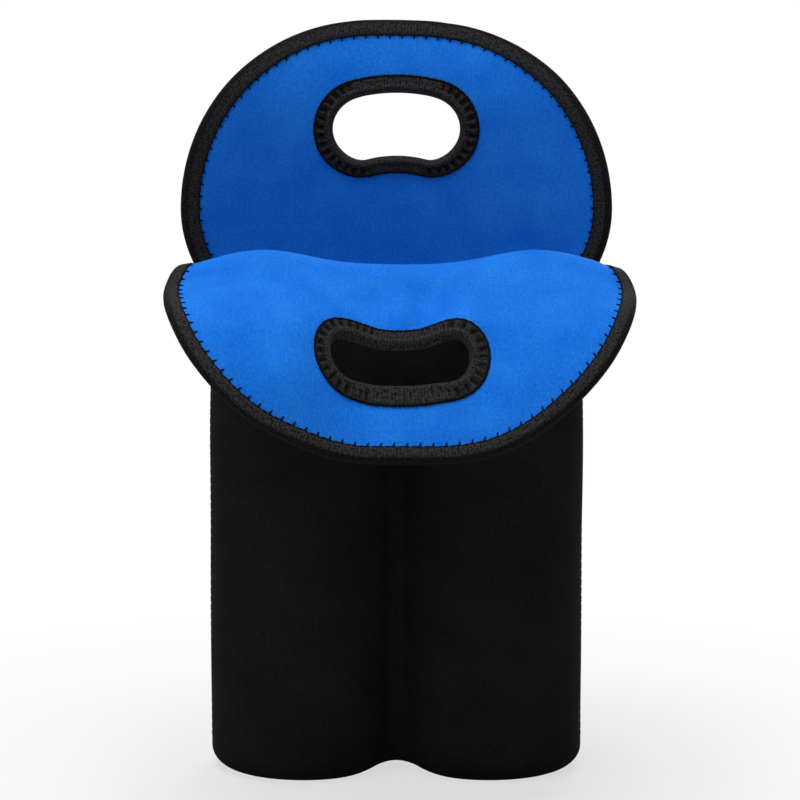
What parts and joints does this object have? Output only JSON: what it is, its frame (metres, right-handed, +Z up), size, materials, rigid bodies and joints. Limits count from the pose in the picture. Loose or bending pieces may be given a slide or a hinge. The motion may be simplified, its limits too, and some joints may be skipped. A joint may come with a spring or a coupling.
{
  "type": "bottle carrier",
  "caption": "Soft foam-cloth carrier with side-by-side bottle pockets, bound oval heads with hand cut-outs, one folded forward, and a contrasting lining.",
  "frame": {"origin": "on the floor under the base, midway between the two pockets", "axes": "+Z up, +X to the right seen from the front, and the front, with the folded head, faces -Y"},
  "size_m": [0.2106, 0.1814, 0.347],
  "materials": {
    "black_foam_cloth": "matte",
    "blue_jersey": "matte",
    "binding_tape": "matte"
  },
  "bodies": {
    "pockets": {"front_panel": "black_foam_cloth", "back_panel": "black_foam_cloth", "base_panel": "black_foam_cloth", "front_panel_lining": "blue_jersey", "back_panel_lining": "blue_jersey", "base_panel_lining": "blue_jersey", "centre_divider": "blue_jersey", "left_seam_tape": "binding_tape", "right_seam_tape": "binding_tape", "front_fold": "black_foam_cloth", "front_fold_lining": "blue_jersey", "back_fold": "black_foam_cloth", "back_fold_lining": "blue_jersey"},
    "front_head": {"front_flap": "black_foam_cloth", "front_flap_lining": "blue_jersey", "front_flap_binding": "binding_tape", "front_handle_binding": "binding_tape"},
    "back_head": {"back_flap": "black_foam_cloth", "back_flap_lining": "blue_jersey", "back_flap_binding": "binding_tape", "back_handle_binding": "binding_tape"}
  },
  "joints": [
    {"name": "front_head_fold", "type": "hinge", "parent": "pockets", "child": "front_head", "pos_m": [0, -0.0491, 0.2375], "axis": [-1, 0, 0], "range_deg": [0, 145], "deforming": ["front_fold", "front_fold_lining"]},
    {"name": "back_head_fold", "type": "hinge", "parent": "pockets", "child": "back_head", "pos_m": [0, 0.0491, 0.2375], "axis": [-1, 0, 0], "range_deg": [-12, 145], "stiffness_Nm_per_rad": 0.05, "deforming": ["back_fold", "back_fold_lining"]}
  ]
}
